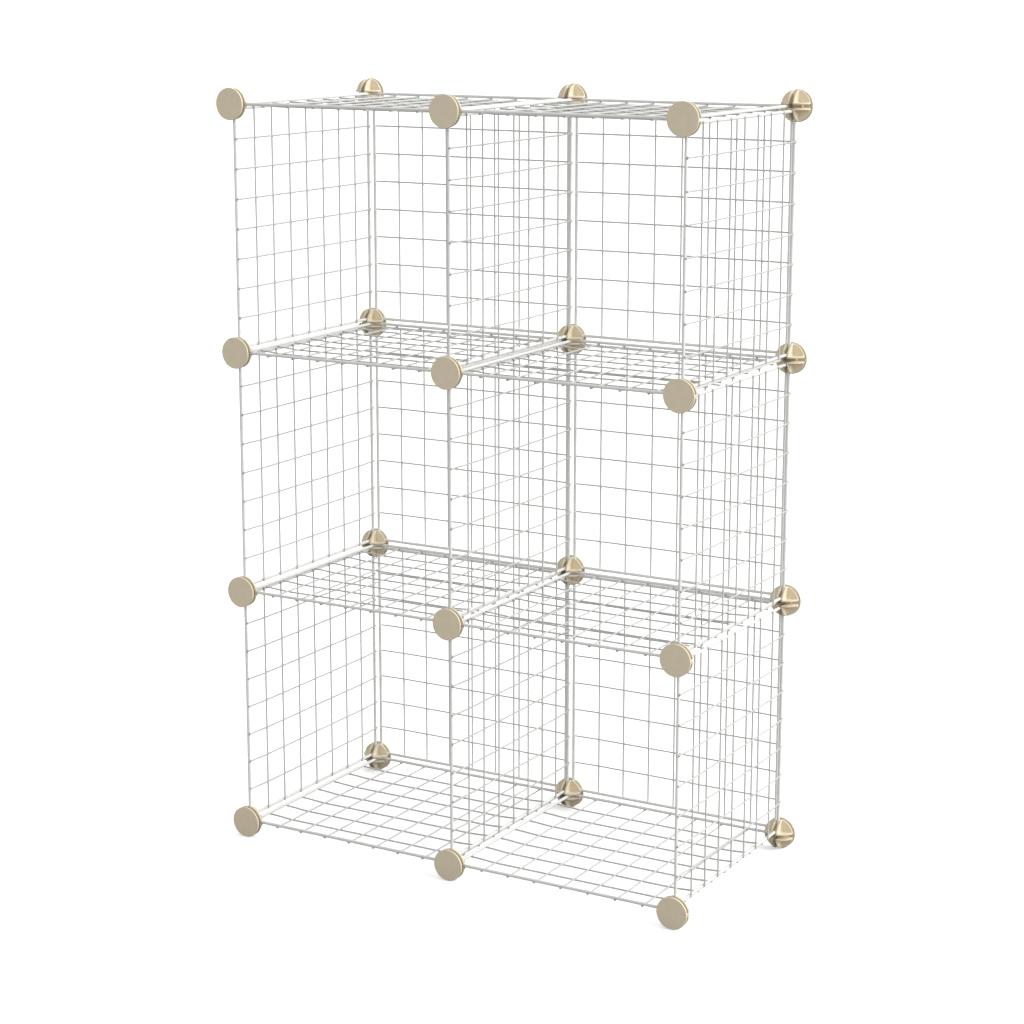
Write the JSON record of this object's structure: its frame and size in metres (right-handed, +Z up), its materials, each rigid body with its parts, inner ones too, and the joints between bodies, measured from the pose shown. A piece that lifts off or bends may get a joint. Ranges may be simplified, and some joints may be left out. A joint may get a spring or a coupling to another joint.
{
  "type": "cube storage unit",
  "caption": "Open-fronted modular storage unit of white wire-grid panels clipped together at their corners by round beige snap connectors.",
  "frame": {"origin": "on the floor, under the middle of the unit's width and depth", "axes": "+Z up, +X to the right seen from the open front, +Y from the open front to the back panels"},
  "size_m": [0.66, 0.3196, 0.97],
  "materials": {
    "wire_white": "satin white powder coat on steel wire",
    "connector_beige": "semi-gloss moulded plastic, finely textured on the outer disc"
  },
  "bodies": {
    "root": {"bottom_panel_left": "wire_white", "bottom_panel_right": "wire_white", "lower_shelf_left": "wire_white", "lower_shelf_right": "wire_white", "upper_shelf_left": "wire_white", "upper_shelf_right": "wire_white", "top_panel_left": "wire_white", "top_panel_right": "wire_white", "left_side_panel_lower": "wire_white", "left_side_panel_middle": "wire_white", "left_side_panel_upper": "wire_white", "divider_panel_lower": "wire_white", "divider_panel_middle": "wire_white", "divider_panel_upper": "wire_white", "right_side_panel_lower": "wire_white", "right_side_panel_middle": "wire_white", "right_side_panel_upper": "wire_white", "back_panel_left_lower": "wire_white", "back_panel_left_middle": "wire_white", "back_panel_left_upper": "wire_white", "back_panel_right_lower": "wire_white", "back_panel_right_middle": "wire_white", "back_panel_right_upper": "wire_white", "front_connector_left_bottom": "connector_beige", "front_connector_left_lower": "connector_beige", "front_connector_left_upper": "connector_beige", "front_connector_left_top": "connector_beige", "front_connector_centre_bottom": "connector_beige", "front_connector_centre_lower": "connector_beige", "front_connector_centre_upper": "connector_beige", "front_connector_centre_top": "connector_beige", "front_connector_right_bottom": "connector_beige", "front_connector_right_lower": "connector_beige", "front_connector_right_upper": "connector_beige", "front_connector_right_top": "connector_beige", "rear_connector_left_bottom": "connector_beige", "rear_connector_left_lower": "connector_beige", "rear_connector_left_upper": "connector_beige", "rear_connector_left_top": "connector_beige", "rear_connector_centre_bottom": "connector_beige", "rear_connector_centre_lower": "connector_beige", "rear_connector_centre_upper": "connector_beige", "rear_connector_centre_top": "connector_beige", "rear_connector_right_bottom": "connector_beige", "rear_connector_right_lower": "connector_beige", "rear_connector_right_upper": "connector_beige", "rear_connector_right_top": "connector_beige"}
  },
  "joints": []
}
